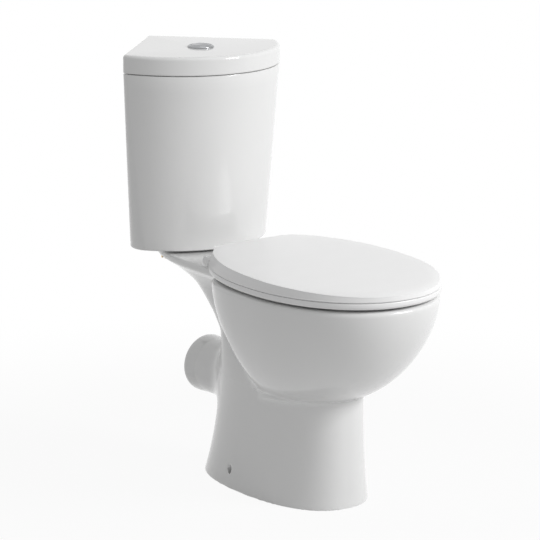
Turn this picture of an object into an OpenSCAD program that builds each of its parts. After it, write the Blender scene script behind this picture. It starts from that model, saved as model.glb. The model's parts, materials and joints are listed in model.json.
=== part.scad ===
// Corner toilet: close-coupled pan, wedge cistern for a room corner, hinged seat and two-button flush.
// X runs left to right, the bowl faces -Y, the corner of the room is at +Y, the floor is z = 0.

/* [Overall] */
// Height of the cistern lid's top above the floor
total_h = 785; // [770:1:800]
// Depth from the nose of the seat to the rounded corner of the cistern
total_d = 804; // [794:1:816]

/* [Pan] */
// Height of the bowl's rim above the floor
rim_h = 404; // [396:1:410]
// How far the rim's nose lies behind the seat's nose
rim_set = 3; // [2:0.5:8]
// How far the rim's sides lie inside the seat's sides
rim_side_set = 1.5; // [0.5:0.5:5]
// Thickness of the ceramic walls
pan_wall = 11; // [9:0.5:13]
// Width of the flat top of the rim
rim_t = 38; // [32:1:42]
// Height where the bowl runs into the pedestal
waist_h = 203; // [196:1:210]
// Width of the waist
waist_w = 186; // [178:1:196]
// Length of the waist
waist_l = 346; // [334:1:356]
// Distance from the rim's nose back to the waist's front
waist_set = 164; // [156:1:172]
// Width of the foot
foot_w = 218; // [210:1:228]
// Length of the foot
foot_l = 389; // [378:1:400]
// Distance from the rim's nose back to the foot's front
foot_set = 156; // [150:1:162]
// Half the width of the neck behind the bowl
neck_hw = 60; // [54:1:62]
// Height of the shelf's top above the rim
deck_rise = 4; // [2:0.5:6]
// Thickness of the shelf
deck_t = 20; // [18:0.5:24]
// Width of the shelf under the seat hinges
deck_w = 228; // [220:1:236]
// Distance from the flush hole to the shelf's back edge
deck_back = 62; // [58:1:66]

/* [Outlet and floor holes] */
// Outer diameter of the outlet spigot
outlet_od = 110; // [104:1:114]
// Height of the outlet's centre line
outlet_h = 177; // [170:1:184]
// Distance from the corner of the cistern to the spigot's end
outlet_set = 198; // [190:1:208]
// Inner diameter of the trap
trap_d = 68; // [62:1:72]
// Diameter of the floor fixing holes
fix_d = 12; // [9:0.5:13]
// Height of the floor holes' mouths
fix_h = 33; // [28:1:38]

/* [Cistern] */
// Height of the cistern's underside above the shelf
cistern_gap = 5; // [4:0.5:7]
// Depth of the lid from front to corner
lid_d = 295; // [290:1:300]
// Height of the lid
lid_t = 36; // [30:1:40]
// Radius of the lid's bowed front
front_r = 190; // [185:1:196]
// Radius of the body's bowed front at the bottom
front_r_low = 181; // [176:1:185]
// Radius of the lid's side corners
side_r = 15; // [10:1:20]
// How far the front tapers in at the bottom
taper_front = 34; // [26:1:38]
// How far the back walls taper in at the bottom
taper_wall = 7; // [4:0.5:10]
// Radius of the side corners at the bottom
side_r_low = 42; // [34:1:46]
// Diameter of the holes for the wall screws
wall_hole_d = 8; // [6:0.5:10]
// Distance from the cistern's corner to those holes, along the wall
wall_hole_run = 90; // [70:1:110]
// Wall thickness of the cistern and its lid
cistern_wall = 10; // [8:0.5:11]
// Thickness of the cistern's floor
floor_t = 12; // [10:0.5:14]
// How far the lid stands over the body all round
lid_over = 0.5; // [0.2:0.1:1.5]
// Distance from the corner of the cistern to the flush axis
flush_set = 174; // [168:1:180]
// Spread of the two bolts that hold the cistern on the shelf
couple_spread = 156; // [150:1:162]
// Thread diameter of those bolts
couple_d = 8; // [6:0.5:9]

/* [Seat] */
// Width of the seat
seat_w = 358; // [350:1:366]
// Distance from the seat's nose to the hinge axis
seat_l = 453; // [446:1:458]
// Gap between the rim and the ring
ring_gap = 4.5; // [4:0.5:6]
// Thickness of the seat ring
ring_t = 13; // [11:0.5:14]
// Width of the ring's flank beside its hole
ring_side = 66; // [58:1:72]
// Width of the ring at the nose
ring_nose = 72; // [64:1:80]
// Thickness of the cover at the nose
cover_t = 13.5; // [12:0.5:16]
// Thickness of the cover at the hinge
cover_t_back = 23.5; // [21:0.5:26]
// Wall thickness of the cover
cover_wall = 4; // [3:0.5:5]
// Seam between ring and cover
seat_seam = 0.7; // [0.4:0.1:1.2]
// Diameter of the hinge barrels
barrel_d = 18; // [16:0.5:19]
// Diameter of the hinge pins
pin_d = 7; // [5:0.5:8]
// Spread of the two seat fixing holes
hinge_spread = 155; // [150:1:160]
// Thread diameter of the seat fixing studs
stud_d = 8; // [6:0.5:9]

/* [Push button] */
// Diameter of the button ring
bezel_d = 50; // [48:0.5:54]
// Height of the button ring above the lid
bezel_h = 4; // [3:0.5:5]
// Diameter of the pair of buttons
button_d = 37; // [34:0.5:38]
// Travel of the buttons
button_travel = 6; // [4:0.5:7]

/* [Valves] */
// Thread diameter of the flush valve's tail
tail_d = 58; // [54:0.5:60]
// Diameter of the overflow tube
overflow_d = 26; // [22:0.5:28]
// Distance from the top of the lid down to the valves in the cistern
tower_drop = 98; // [92:1:120]
// Thread diameter of the water inlet
inlet_d = 21; // [19:0.5:22]
// Distance from the centre plane to the water inlet
inlet_x = 114; // [110:1:116]
// Length of the float arm
arm_l = 60; // [54:1:62]
// Diameter of the float
float_d = 34; // [28:1:36]

/* [Hidden] */
$fn = 48;

// Clearances
fit = 0.05;   // a turned part in its bore
slide = 0.3;  // a part that moves past another
play = 1.5;   // a bolt in a hole of the ceramic
cut = 1;      // overshoot of a cut beyond the face it opens

// Datum lines
nose_y = -total_d / 2;
apex_y = total_d / 2;
hinge_y = nose_y + seat_l;
flush_y = apex_y - flush_set;
rim_w = seat_w - 2 * rim_side_set;
rim_nose_y = nose_y + rim_set;
deck_h = rim_h + deck_rise;
shelf_back_y = flush_y + deck_back;
waist_front_y = rim_nose_y + waist_set;
waist_back_y = waist_front_y + waist_l;
foot_front_y = rim_nose_y + foot_set;
foot_back_y = foot_front_y + foot_l;
outlet_y = apex_y - outlet_set;
tower_top_z = total_h - tower_drop;

// Plain helpers
function mix(a, b, u) = a + (b - a) * u;
function flat(lists) = [for (l = lists) for (p = l) p];
function middle(ring) = [for (i = [0:2]) sum_of(ring, i) / len(ring)];
function sum_of(ring, i, k = 0) = k == len(ring) ? 0 : ring[k][i] + sum_of(ring, i, k + 1);
function raise(outline, z) = [for (p = outline) [p[0], p[1], z]];

// A closed skin through a stack of rings that all have the same number of points, counter-clockwise
module loft(rings) {
    n = len(rings[0]);
    last = len(rings) - 1;
    points = concat(flat(rings), [middle(rings[0]), middle(rings[last])]);
    low = len(points) - 2;
    high = len(points) - 1;
    sides = [for (k = [0:last - 1]) for (i = [0:n - 1])
        let (j = (i + 1) % n)
        each [[k * n + i, (k + 1) * n + i, (k + 1) * n + j], [k * n + i, (k + 1) * n + j, k * n + j]]];
    caps = [for (i = [0:n - 1])
        let (j = (i + 1) % n)
        each [[i, j, low], [last * n + j, last * n + i, high]]];
    polyhedron(points = points, faces = concat(sides, caps), convexity = 6);
}

// Egg-shaped outline: half width hw at yc, front at yf, back at yb, squareness ef and eb
egg_pts = 34;
function egg(hw, yf, yb, yc, ef, eb) = [for (i = [0:egg_pts - 1])
    let (a = 360 * i / egg_pts, c = cos(a), s = sin(a))
    let (e = s < 0 ? ef : eb, reach = s < 0 ? yc - yf : yb - yc)
    [hw * sign(c) * pow(abs(c), 2 / e), yc + reach * sign(s) * pow(abs(s), 2 / e)]];

// ---- Pan ----
rim_yc = nose_y + 0.515 * seat_l;  // where the seat and the rim are widest
bowl_back_y = hinge_y - 18;
waist_yc = (waist_front_y + waist_back_y) / 2;
rim_round = 6;  // how far the rim's rounded edge draws in at its top

// Share by which the bowl has drawn in, u = 0 at the rim and 1 at the waist
function draw_in(u) = 1 - pow(1 - pow(u, 1.8), 0.75);
// [u, inset of the rounded edge], from the waist up to the rim
bowl_levels = [[1, 0], [0.97, 0], [0.9, 0], [0.79, 0], [0.66, 0], [0.52, 0], [0.38, 0], [0.24, 0],
    [0.12, 0], [0.03, 0], [0.01, 0.25], [0, 1]];
function bowl_ring(u, inset) =
    let (d = draw_in(u))
    raise(egg(mix(rim_w, waist_w, d) / 2 - inset,
        mix(rim_nose_y, waist_front_y, d) + inset,
        mix(bowl_back_y, bowl_back_y - 110, d) - inset,
        mix(rim_yc, waist_yc - 60, d), 2.1, mix(3, 2.4, d)), mix(rim_h, waist_h, u));
module bowl_skin() {
    loft([for (v = bowl_levels) bowl_ring(v[0], v[1] * rim_round)]);
}
module bowl_hollow() {
    loft([for (v = bowl_levels) if (v[0] > 0.2 && v[0] < 0.95) bowl_ring(v[0], pan_wall)]);
}

// Share of the pedestal's flare, u = 0 at the floor and 1 at the waist
function flare(u) = pow(1 - u, 2);
function pedestal_ring(u, inset, z) =
    let (f = flare(u))
    raise(egg(mix(waist_w, foot_w, f) / 2 - inset,
        mix(waist_front_y, foot_front_y, f) + inset,
        mix(waist_back_y, foot_back_y, f) - inset,
        mix(waist_yc, (foot_front_y + foot_back_y) / 2, f), 2.3, 2.3), z);
pedestal_levels = [0, 0.08, 0.2, 0.35, 0.55, 0.8, 1];
pedestal_top = waist_h + 50;  // it runs up inside the bowl and the neck
module pedestal_skin() {
    loft(concat([for (u = pedestal_levels) pedestal_ring(u, 0, u * waist_h)],
        [pedestal_ring(1, 22, pedestal_top)]));
}
module pedestal_hollow() {
    loft(concat([pedestal_ring(0, pan_wall, -cut)],
        [for (u = pedestal_levels) if (u > 0) pedestal_ring(u, pan_wall, u * waist_h)],
        [pedestal_ring(1, 22 + pan_wall, pedestal_top)]));
}

// Neck, as [depth below the shelf's top, half width, share of the way back from the trap to the shelf's
// back edge], and shelf, as [depth, half width, distance before the shelf's back edge]
shelf_hw = deck_w / 2;
shelf_yc = hinge_y - 15;
shelf_front_y = hinge_y - 60;
neck_front_y = hinge_y - 110;
web = 5;  // how much deeper the shelf is over the neck
shelf_rings = [[deck_t + web, neck_hw + 12, 28], [deck_t, shelf_hw - 5, 8], [deck_t - 4, shelf_hw - 1, 2],
    [4, shelf_hw, 0], [1.5, shelf_hw - 0.8, 0.8], [0, shelf_hw - 3, 3]];
function shelf_ring(r, front, inset) =
    raise(egg(r[1] - inset, front + inset, shelf_back_y - r[2] - inset, shelf_yc, 3, 3), deck_h - r[0]);
neck_rings = [[deck_t + 188, neck_hw, 0], [deck_t + 115, neck_hw, 0.027], [deck_t + 96, neck_hw, 0.087],
    [deck_t + 79, neck_hw, 0.178], [deck_t + 64, neck_hw, 0.276], [deck_t + 50, neck_hw, 0.384],
    [deck_t + 33, neck_hw, 0.503], [deck_t + 22, neck_hw, 0.632], [deck_t + 14, neck_hw + 3, 0.762]];
neck_back_y = hinge_y + 54;  // just behind the trap
function neck_ring(r, inset) =
    shelf_ring([r[0], r[1], (1 - r[2]) * (shelf_back_y - neck_back_y)], neck_front_y, inset);
module neck_skin() {
    loft(concat([for (r = neck_rings) neck_ring(r, 0)],
        [for (r = shelf_rings) shelf_ring(r, shelf_front_y, 0)]));
}
module neck_hollow() {
    loft([for (r = neck_rings) if (r[0] > deck_t + 32) neck_ring(r, pan_wall)]);
}

// Inside of the bowl: [depth below the rim, share of the mouth's width, front, back, both inward]
mouth_hw = rim_w / 2 - rim_t;
mouth_front_y = rim_nose_y + rim_t;
mouth_back_y = hinge_y - 62;
sump_depth = rim_h - 80;
cavity_rings = [[sump_depth, 0.154, 280, 40], [sump_depth - 24, 0.226, 262, 36],
    [256, 0.269, 238, 32], [239, 0.305, 214, 22], [214, 0.398, 180, 10], [189, 0.527, 136, 2],
    [154, 0.713, 80, -3], [114, 0.885, 34, -5], [74, 1.014, 4, -7], [38, 1.065, -9, -7],
    [30, 1, 0, 0], [-cut, 1, 0, 0]];
function cavity_ring(r, grow) =
    let (front = mouth_front_y + r[2] - grow, back = mouth_back_y - r[3] + grow)
    let (mid = mix(rim_yc, (front + back) / 2, min(max(r[0], 0) / 214, 1)))
    raise(egg(mouth_hw * r[1] + grow, front, back, mid, 2.1, 2.4), rim_h - r[0]);
module cavity() {
    loft([for (r = cavity_rings) cavity_ring(r, 0)]);
}
module cavity_wall() {
    sump = cavity_rings[0];
    loft(concat([cavity_ring([sump_depth + pan_wall, sump[1], sump[2], sump[3]], pan_wall - 4)],
        [for (r = cavity_rings) if (r[0] > 36) cavity_ring(r, pan_wall)]));
}

// Trap: a bent pipe from the sump over the weir into the outlet spigot, as [y, z] of its bends
sump_z = rim_h - sump_depth + trap_d / 2;
weir_z = outlet_h + 58;
function to_outlet(share) = mix(mouth_back_y, outlet_y, share);
spigot_root_y = to_outlet(0.45);
trap_bends = [[mouth_back_y - 62, sump_z], [mouth_back_y + 5, sump_z], [to_outlet(0.21), weir_z],
    [to_outlet(0.35), weir_z], [to_outlet(0.43), outlet_h], [spigot_root_y + 10, outlet_h]];
trap_last = len(trap_bends) - 1;
function straight(k) = trap_bends[k + 1] - trap_bends[k];
// How far a pipe of diameter d runs on past bend k, so that its outer side closes
function overrun(k, d) = k == 0 || k == trap_last ? 0 :
    let (a = straight(k - 1), b = straight(k))
    d / 2 * tan(acos(a * b / norm(a) / norm(b)) / 2);
module trap(d) {
    for (k = [0:trap_last - 1]) {
        run = straight(k);
        translate([0, trap_bends[k][0], trap_bends[k][1]]) rotate([atan2(-run[0], run[1]), 0, 0])
            translate([0, 0, -overrun(k, d)])
            cylinder(d = d, h = norm(run) + overrun(k, d) + overrun(k + 1, d));
    }
}

// Round spigot with a bead at its end
bead_w = 14;
module spigot() {
    translate([0, outlet_y, outlet_h]) rotate([90, 0, 0]) {
        cylinder(d = outlet_od - 4, h = outlet_y - spigot_root_y);
        translate([0, 0, 2]) cylinder(d = outlet_od, h = bead_w - 4);
        cylinder(d1 = outlet_od - 4, d2 = outlet_od, h = 2);
        translate([0, 0, bead_w - 2]) cylinder(d1 = outlet_od, d2 = outlet_od - 4, h = 2);
    }
}
module outlet_bore() {
    cylinder(d = outlet_od - 2 * pan_wall, h = 60);
    cylinder(d = trap_d + 4, h = outlet_y - spigot_root_y - cut);
}

// Floor fixing hole: a trough down the side with a drilled ledge, leaning outwards
fix_lean = 22;
fix_y = hinge_y - 63;
fix_x = foot_w / 2 - 10;
module floor_fixing() {
    translate([fix_x, fix_y, fix_h]) rotate([0, fix_lean, 0]) {
        cylinder(r = fix_d, h = 90);
        translate([0, 0, -70]) cylinder(d = fix_d, h = 71);
    }
}
// Solid pad of ceramic that the floor screw goes through
module floor_pad() {
    translate([fix_x - 20, fix_y, -2 * cut]) cylinder(r = fix_d + 12, h = fix_h + 34);
}

// Flush inlet in the shelf and the duct that leads forward to the bowl
plate_t = 2;
nut_t = 8;
inlet_recess = plate_t + nut_t - cistern_gap + 0.5;
inlet_recess_d = tail_d + 36;
duct_low = deck_h - deck_t + 1;
duct_t = 11;
module inlet_cut() {
    translate([0, flush_y, deck_h - inlet_recess]) cylinder(d = inlet_recess_d, h = inlet_recess + cut);
    translate([0, flush_y, duct_low]) cylinder(d = tail_d + 6, h = deck_t);
}
module flush_duct() {
    translate([-25, 0, 0]) rotate([90, 0, 90]) linear_extrude(50)
        polygon([[mouth_back_y - 20, rim_h - 29], [mouth_back_y + 40, rim_h - 29],
            [mouth_back_y + 70, duct_low], [flush_y, duct_low], [flush_y, duct_low + duct_t],
            [mouth_back_y + 70, duct_low + duct_t], [mouth_back_y + 40, rim_h - 12],
            [mouth_back_y - 20, rim_h - 12]]);
}

// Spots on the shelf for the seat studs and the bolts of the cistern
seat_holes = [for (s = [-1, 1]) [s * hinge_spread / 2, hinge_y]];
couple_holes = [for (s = [-1, 1]) [s * couple_spread / 2, flush_y]];
stud_spot_d = 30;
couple_spot_d = 25;
couple_web = 9;  // ceramic left above the counterbore of each bolt
module at(spots, z) {
    for (p = spots) translate([p[0], p[1], z]) children();
}

// Outer skins with their hollows, but for the pads that the floor screws go through
module shell() {
    difference() {
        union() {
            bowl_skin();
            pedestal_skin();
            neck_skin();
        }
        bowl_hollow();
        neck_hollow();
        difference() {
            pedestal_hollow();
            for (s = [0, 1]) mirror([s, 0, 0]) floor_pad();
        }
    }
}
// The cast ceramic before its round holes are drilled
module casting() {
    difference() {
        union() {
            shell();
            cavity_wall();
            trap(trap_d + 2 * pan_wall - 2);
        }
        cavity();
        trap(trap_d);
        flush_duct();
    }
}

module pan() {
    color("white")
    difference() {
        union() {
            resize([rim_w, 0, 0]) casting();
            spigot();
        }
        translate([0, outlet_y + cut, outlet_h]) rotate([90, 0, 0]) outlet_bore();
        inlet_cut();
        at(seat_holes, deck_h - 60) cylinder(d = stud_d + 2 * play, h = 60 + cut);
        at(seat_holes, deck_h - 60) cylinder(d = stud_spot_d, h = 61 - deck_t);
        at(couple_holes, deck_h - 60) cylinder(d = couple_d + 2 * play, h = 60 + cut);
        at(couple_holes, deck_h - 60) cylinder(d = couple_spot_d, h = 60 - couple_web);
        for (s = [0, 1]) mirror([s, 0, 0]) floor_fixing();
    }
}

// ---- Cistern ----
lid_low = total_h - lid_t;
cis_low = deck_h + cistern_gap;
floor_z = cis_low + floor_t;
lid_front_y = apex_y - lid_d;
apex_r = 9;  // radius of the corner between the two back walls

// Plan of a corner cistern whose rounded corner reaches back to tip: walls at 45 degrees, side corners of
// radius side, a bowed front of radius r that reaches forward to front, all drawn in by inset
function corner_plan(tip, front, r, side, inset) =
    let (h = sqrt(0.5), big = r - inset, s = max(side - inset, 2), ra = max(apex_r - inset, 1.5))
    let (ay = tip + apex_r * (sqrt(2) - 1) - inset * sqrt(2), cy = front + r, k = ay - cy)
    let (c = s * s + k * k - 2 * k * h * s - pow(big - s, 2))
    let (d = k * h + sqrt(k * k * h * h - c))
    let (qx = (d - s) * h, qy = ay - (d + s) * h, turn = atan2(qy - cy, qx))
    let (right = concat(
        [for (i = [0:3]) let (a = 90 - 15 * i) [ra * cos(a), ay - ra * sqrt(2) + ra * sin(a)]],
        [for (i = [0:5]) let (a = mix(45, turn, i / 5)) [qx + s * cos(a), qy + s * sin(a)]],
        [for (i = [1:14]) let (a = mix(turn, -90, i / 14)) [big * cos(a), cy + big * sin(a)]]))
    let (n = len(right))
    concat([for (i = [n - 1:-1:0]) right[i]], [for (i = [1:n - 2]) [-right[i][0], right[i][1]]]);

function body_ring(z, inset) =
    let (u = (z - cis_low) / (lid_low - cis_low))
    raise(corner_plan(apex_y - mix(taper_wall, lid_over, u), lid_front_y + mix(taper_front, lid_over, u),
        mix(front_r_low, front_r, u), mix(side_r_low, side_r, u), inset), z);
module cistern_body() {
    rounded = [[0, 6], [1.6, 2.6], [4.5, 0.6], [9, 0]];
    color("white")
    difference() {
        loft(concat([for (v = rounded) body_ring(cis_low + v[0], v[1])], [body_ring(lid_low, 0)]));
        loft(concat([for (v = rounded) body_ring(floor_z + v[0], v[1] + cistern_wall)],
            [body_ring(lid_low + cut, cistern_wall)]));
        translate([0, flush_y, cis_low - cut]) cylinder(d = tail_d + 4, h = floor_t + 2 * cut);
        translate([inlet_x, inlet_y, cis_low - cut]) cylinder(d = inlet_d + 2 * play, h = floor_t + 2 * cut);
        at(couple_holes, cis_low - cut) cylinder(d = couple_d + 2 * play, h = floor_t + 2 * cut);
        for (s = [0, 1]) mirror([s, 0, 0]) wall_hole();
    }
}
// Hole for a wall screw, square to a back wall
wall_hole_z = lid_low - 55;
module wall_hole() {
    translate([0, apex_y, wall_hole_z]) rotate([0, 0, 45]) translate([-3 * cistern_wall, -wall_hole_run, 0])
        rotate([0, 90, 0]) cylinder(d = wall_hole_d, h = 5 * cistern_wall);
}

lid_top_t = 11;
lip_in = cistern_wall + 3.5;  // the lip under the lid hangs this far inside the lid's outline
lip_t = 5.5;
lip_h = 8;
module cistern_lid() {
    color("white")
    difference() {
        union() {
            loft([for (v = [[0, 1.5], [2.5, 0], [lid_t - 7, 0], [lid_t - 4, 0.9], [lid_t - 1.6, 2.8],
                [lid_t - 0.3, 4.4], [lid_t, 6]]) lid_ring(v[0], v[1])]);
            loft([lid_ring(-lip_h, lip_in + 1.2), lid_ring(1.2 - lip_h, lip_in), lid_ring(3, lip_in)]);
        }
        loft([lid_ring(-lip_h - cut, lip_in + lip_t), lid_ring(6, lip_in + lip_t),
            lid_ring(10, cistern_wall + 2), lid_ring(lid_t - lid_top_t, cistern_wall + 4)]);
        translate([0, flush_y, lid_low]) cylinder(d = bezel_thread_d + play, h = lid_t + cut);
    }
}
function lid_ring(h, inset) =
    raise(corner_plan(apex_y, lid_front_y, front_r, side_r, inset), lid_low + h);

// ---- Seat ----
ring_low = rim_h + ring_gap;
ring_top = ring_low + ring_t;
cover_low = ring_top + seat_seam;
hinge_z = deck_h + 3.5 + barrel_d / 2;
seat_end_y = hinge_y + 40;  // where the egg outline would close if it weren't cut off at the hinges
// Plan of the seat, drawn in by inset and cut off at back
function seat_plan(inset, back) = [for (p = egg(seat_w / 2 - inset, nose_y + inset, seat_end_y - inset,
    rim_yc, 2.1, 2.4)) [p[0], min(p[1], back)]];
function hole_plan(grow) = egg(seat_w / 2 - ring_side + grow, nose_y + ring_nose - grow,
    hinge_y - 96 + grow, rim_yc + 8, 2.1, 2.2);

// Places along the hinge axis, as distances from the centre plane
post_w = 15;
post_in = hinge_spread / 2 - post_w / 2;
post_out = hinge_spread / 2 + post_w / 2;
knuckle_w = 15;
knuckle_in = post_in - slide - knuckle_w;
knuckle_end = post_out + slide + 22;
pin_end = knuckle_end - 4;
module along_hinge(from, to, d) {
    for (s = [0, 1]) mirror([s, 0, 0])
        translate([from, hinge_y, hinge_z]) rotate([0, 90, 0]) cylinder(d = d, h = to - from);
}

ring_back_y = hinge_y - barrel_d / 2 - 1.5;
module seat_ring() {
    color("whitesmoke")
    difference() {
        union() {
            difference() {
                loft([for (v = [[0, 4], [1.2, 1.6], [3.5, 0.3], [6, 0], [ring_t - 1.5, 0.4], [ring_t, 1.6]])
                    raise(seat_plan(v[1], ring_back_y), ring_low + v[0])]);
                loft([for (v = [[-cut, 3], [1.5, 0.6], [5, 0], [ring_t - 4, 1], [ring_t - 1.5, 4],
                    [ring_t + cut, 9]]) raise(hole_plan(v[1]), ring_low + v[0])]);
            }
            along_hinge(knuckle_in, post_in - slide, barrel_d);
            for (s = [0, 1]) mirror([s, 0, 0])
                translate([knuckle_in, ring_back_y - 6, ring_low + 3])
                cube([knuckle_w, hinge_y - ring_back_y + 6, ring_t - 3.5]);
        }
        along_hinge(knuckle_in - cut, post_in, pin_d + 2 * fit);
        at(ring_pads, ring_low - cut) cylinder(d = pad_stem_d + 2 * fit, h = pad_stem_h + cut + 0.5);
    }
}

function cover_thick(y) = mix(cover_t, cover_t_back, (y - nose_y) / seat_l);
// Ring of the cover at a share up its thickness, less drop
function cover_ring(share, inset, drop, back) = [for (p = seat_plan(inset, back))
    [p[0], p[1], cover_low + share * (cover_thick(p[1]) - drop)]];
cover_back_y = hinge_y + 7;
module seat_cover() {
    color("whitesmoke")
    difference() {
        union() {
            difference() {
                loft([for (v = [[0, 1], [0.1, 0.2], [0.3, 0], [0.6, 0.4], [0.8, 1.8], [0.93, 4.5], [0.985, 9],
                    [1, 14]]) cover_ring(v[0], v[1], 0, cover_back_y - v[1] * 0.5)]);
                loft([for (v = [[-0.3, 0], [0.6, 0.5], [1, 5]])
                    cover_ring(v[0], v[1] + cover_wall, cover_wall, cover_back_y - cover_wall)]);
            }
            for (p = cover_pads) translate([p[0], p[1], ring_top + pad_gap + cover_pad_t])
                cylinder(d = cover_pad_d, h = seat_seam + cover_thick(p[1]) - pad_gap - cover_pad_t - 2);
            along_hinge(post_out + slide, knuckle_end, barrel_d);
            for (s = [0, 1]) mirror([s, 0, 0])
                translate([post_out + slide, hinge_y - barrel_d / 2, hinge_z])
                cube([8, barrel_d, cover_low + cover_t_back - cover_wall + 1 - hinge_z]);
        }
        along_hinge(post_out, pin_end + 0.5, pin_d + 2 * fit);
        along_hinge(knuckle_in - 1, post_out + slide, barrel_d + 2);
        along_hinge(post_in - slide, post_out + slide, 2 * (hinge_z - deck_h) + 8);
        at(cover_pads, ring_top)
            cylinder(d = pad_stem_d + 2 * fit, h = pad_gap + cover_pad_t + pad_stem_h + slide);
    }
}

// Rubber pads, on spots along the middle of the ring
pad_stem_d = 6;
pad_stem_h = 5;
pad_gap = 0.1;
cover_pad_d = 14;
cover_pad_t = 3;
function on_ring(a) = let (p = egg((seat_w - ring_side) / 2, nose_y + ring_nose / 2, seat_end_y,
    rim_yc, 2.1, 2.4)) p[round(a * egg_pts / 360)];
ring_pads = [for (a = [18, 162, 234, 306]) on_ring(a)];
cover_pads = [for (a = [27, 153, 243, 297]) on_ring(a)];
module ring_buffers() {
    color("gainsboro")
    at(ring_pads, rim_h + pad_gap) {
        cylinder(d = 16, h = ring_gap - pad_gap);
        cylinder(d = pad_stem_d, h = ring_gap - pad_gap + pad_stem_h);
    }
}
module cover_buffers() {
    color("gainsboro")
    at(cover_pads, ring_top + pad_gap) {
        cylinder(d = cover_pad_d, h = cover_pad_t);
        cylinder(d = pad_stem_d, h = cover_pad_t + pad_stem_h);
    }
}

module hinge_posts() {
    color("whitesmoke")
    for (s = [0, 1]) mirror([s, 0, 0]) difference() {
        union() {
            translate([hinge_spread / 2, hinge_y, deck_h]) cylinder(d = barrel_d + 2, h = 2);
            translate([post_in, hinge_y - post_w / 2, deck_h]) cube([post_w, post_w, hinge_z - deck_h]);
            translate([post_in, hinge_y, hinge_z]) rotate([0, 90, 0]) cylinder(d = barrel_d, h = post_w);
        }
        translate([post_in - cut, hinge_y, hinge_z]) rotate([0, 90, 0])
            cylinder(d = pin_d + 2 * fit, h = post_w + 2 * cut);
        translate([hinge_spread / 2, hinge_y, deck_h - cut])
            cylinder(d = stud_d + 2 * fit, h = stud_in + cut);
    }
}
stud_in = hinge_z - deck_h - pin_d / 2 - 2;
module hinge_pins() {
    color("silver")
    along_hinge(knuckle_in + 1, pin_end, pin_d);
}

seat_washer_t = 4;
wing_t = 9;
stud_low = deck_h - deck_t + 1 - seat_washer_t - wing_t - 12;
module seat_studs() {
    color("whitesmoke")
    at(seat_holes, stud_low) cylinder(d = stud_d, h = deck_h + stud_in - stud_low);
}
module seat_washers() {
    color("gray")
    at(seat_holes, deck_h - deck_t + 1 - seat_washer_t) difference() {
        cylinder(d1 = stud_d * 2.25, d2 = stud_d * 3, h = seat_washer_t);
        translate([0, 0, -cut]) cylinder(d = stud_d + 2 * fit, h = seat_washer_t + 2 * cut);
    }
}
// Nut with two wings, its bore for a thread of diameter d
module wing_nut(d, hub, span, h) {
    difference() {
        union() {
            cylinder(d = hub, h = h);
            translate([-span / 2, -1.5, 0]) cube([span, 3, h * 0.7]);
        }
        translate([0, 0, -cut]) cylinder(d = d + 2 * fit, h = h + 2 * cut);
    }
}
module seat_wing_nuts() {
    color("whitesmoke")
    at(seat_holes, deck_h - deck_t + 1 - seat_washer_t - wing_t)
        rotate([0, 0, 90]) wing_nut(stud_d, stud_d * 1.9, stud_d * 3.4, wing_t);
}

// ---- Push button ----
bezel_bore_d = button_d + 2 * slide;
bezel_thread_d = bezel_bore_d + 4;
bezel_top = total_h + bezel_h;
bezel_low = total_h - lid_top_t - 20;
split_r = 17;
split_x = button_d / 2 + 3.5;  // centre of the curved cut between the two buttons
module button_bezel() {
    r_in = bezel_bore_d / 2;
    color("silver")
    translate([0, flush_y, 0]) rotate_extrude()
        polygon([[r_in, bezel_low], [bezel_thread_d / 2, bezel_low], [bezel_thread_d / 2, total_h],
            [bezel_d / 2, total_h], [bezel_d / 2, total_h + 0.8], [bezel_d / 2 - 1.2, total_h + 2.2],
            [r_in + 1.6, bezel_top], [r_in + 0.5, bezel_top], [r_in, bezel_top - 0.5]]);
}
button_crown = 4;  // rise of the domed top over its edge
button_low = total_h - 2 * button_travel;
boss_d = 9;
boss_h = 9;
rod_d = 5;
full_rod_x = -7;
half_rod_x = 11;
module button_blank(r) {
    dome_r = (r * r + button_crown * button_crown) / (2 * button_crown);
    intersection() {
        cylinder(r = r, h = bezel_top + button_crown);
        translate([0, 0, bezel_top + button_crown - dome_r]) sphere(r = dome_r, $fn = 96);
        translate([-r - 1, -r - 1, button_low]) cube([2 * r + 2, 2 * r + 2, 60]);
    }
}
module rod_boss(x) {
    difference() {
        translate([x, 0, button_low - boss_h]) cylinder(d = boss_d, h = boss_h + 1);
        translate([x, 0, button_low - boss_h - cut]) cylinder(d = rod_d + 2 * fit, h = boss_h + cut);
    }
}
module full_flush_button() {
    color("silver")
    translate([0, flush_y, 0]) {
        difference() {
            button_blank(button_d / 2);
            translate([split_x, 0, 0]) cylinder(r = split_r + slide, h = total_h + 60);
        }
        rod_boss(full_rod_x);
    }
}
module half_flush_button() {
    color("silver")
    translate([0, flush_y, 0]) {
        intersection() {
            button_blank(button_d / 2);
            translate([split_x, 0, 0]) cylinder(r = split_r - slide, h = total_h + 60);
        }
        rod_boss(half_rod_x);
    }
}
module push_rod(x) {
    translate([x, flush_y, rod_low]) cylinder(d = rod_d, h = button_low - 1 - rod_low);
}
module full_flush_rod() {
    color("white") push_rod(full_rod_x);
}
module half_flush_rod() {
    color("white") push_rod(half_rod_x);
}
module button_lock_nut() {
    color("white")
    translate([0, flush_y, total_h - lid_top_t - 7]) difference() {
        cylinder(d = bezel_thread_d + 14, h = 7, $fn = 8);
        translate([0, 0, -cut]) cylinder(d = bezel_thread_d + 2 * fit, h = 7 + 2 * cut);
    }
}

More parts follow.
